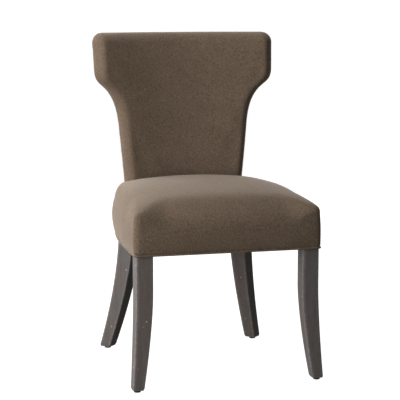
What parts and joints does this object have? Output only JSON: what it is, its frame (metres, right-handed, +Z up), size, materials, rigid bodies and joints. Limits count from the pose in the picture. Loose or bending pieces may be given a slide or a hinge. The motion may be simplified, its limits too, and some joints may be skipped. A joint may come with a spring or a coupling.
{
  "type": "wingback dining chair",
  "caption": "Upholstered dining chair: a curved hammerhead back flares into wings at the top, over a crowned padded seat on a hidden rail frame and four splayed sabre legs.",
  "frame": {"origin": "on the floor, under the middle of the chair's box", "axes": "+Z up; the chair faces -Y, so a sitter looks along -Y; +X is to the right of someone who looks at its front"},
  "size_m": [0.562, 0.5737, 0.965],
  "materials": {
    "leg_wood": "dark stained, rubbed at the edges, satin",
    "glide_plastic": "matt black nail-on glide",
    "frame_hardwood": "planed, unfinished",
    "steel": "zinc plated",
    "spring_wire": "black coated wire",
    "jute": "woven jute",
    "foam": "open-cell foam",
    "taupe_fabric": "brushed wool-like cloth, taupe brown",
    "black_cloth": "thin non-woven dust cloth"
  },
  "bodies": {
    "root": {"front_leg_left": "leg_wood", "front_leg_right": "leg_wood", "rear_leg_left": "leg_wood", "rear_leg_right": "leg_wood", "glide_front_left": "glide_plastic", "glide_front_right": "glide_plastic", "glide_rear_left": "glide_plastic", "glide_rear_right": "glide_plastic", "front_rail": "frame_hardwood", "rear_rail": "frame_hardwood", "side_rail_left": "frame_hardwood", "side_rail_right": "frame_hardwood", "front_block_left": "frame_hardwood", "front_block_right": "frame_hardwood", "rear_block_left": "frame_hardwood", "rear_block_right": "frame_hardwood", "back_post_left": "frame_hardwood", "back_post_right": "frame_hardwood", "crest_rail": "frame_hardwood", "wing_rail": "frame_hardwood", "lumbar_rail": "frame_hardwood", "wing_stile_left": "frame_hardwood", "wing_stile_right": "frame_hardwood", "neck_fillet_left": "frame_hardwood", "neck_fillet_right": "frame_hardwood", "front_block_screw_upper_left": "steel", "front_block_screw_upper_right": "steel", "front_block_screw_lower_left": "steel", "front_block_screw_lower_right": "steel", "rear_leg_bolt_upper_left": "steel", "rear_leg_bolt_upper_right": "steel", "rear_leg_bolt_lower_left": "steel", "rear_leg_bolt_lower_right": "steel", "post_bolt_upper_left": "steel", "post_bolt_upper_right": "steel", "post_bolt_lower_left": "steel", "post_bolt_lower_right": "steel", "spring_clip_front_1": "steel", "spring_clip_front_2": "steel", "spring_clip_front_3": "steel", "spring_clip_front_4": "steel", "spring_clip_rear_1": "steel", "spring_clip_rear_2": "steel", "spring_clip_rear_3": "steel", "spring_clip_rear_4": "steel", "seat_spring_1": "spring_wire", "seat_spring_2": "spring_wire", "seat_spring_3": "spring_wire", "seat_spring_4": "spring_wire", "insulator_pad": "jute", "back_strap_1": "jute", "back_strap_2": "jute", "back_strap_3": "jute", "seat_foam": "foam", "back_foam": "foam", "seat_cover": "taupe_fabric", "seat_welt": "taupe_fabric", "inside_back_cover": "taupe_fabric", "outside_back_cover": "taupe_fabric", "dust_sheet": "black_cloth"}
  },
  "joints": []
}
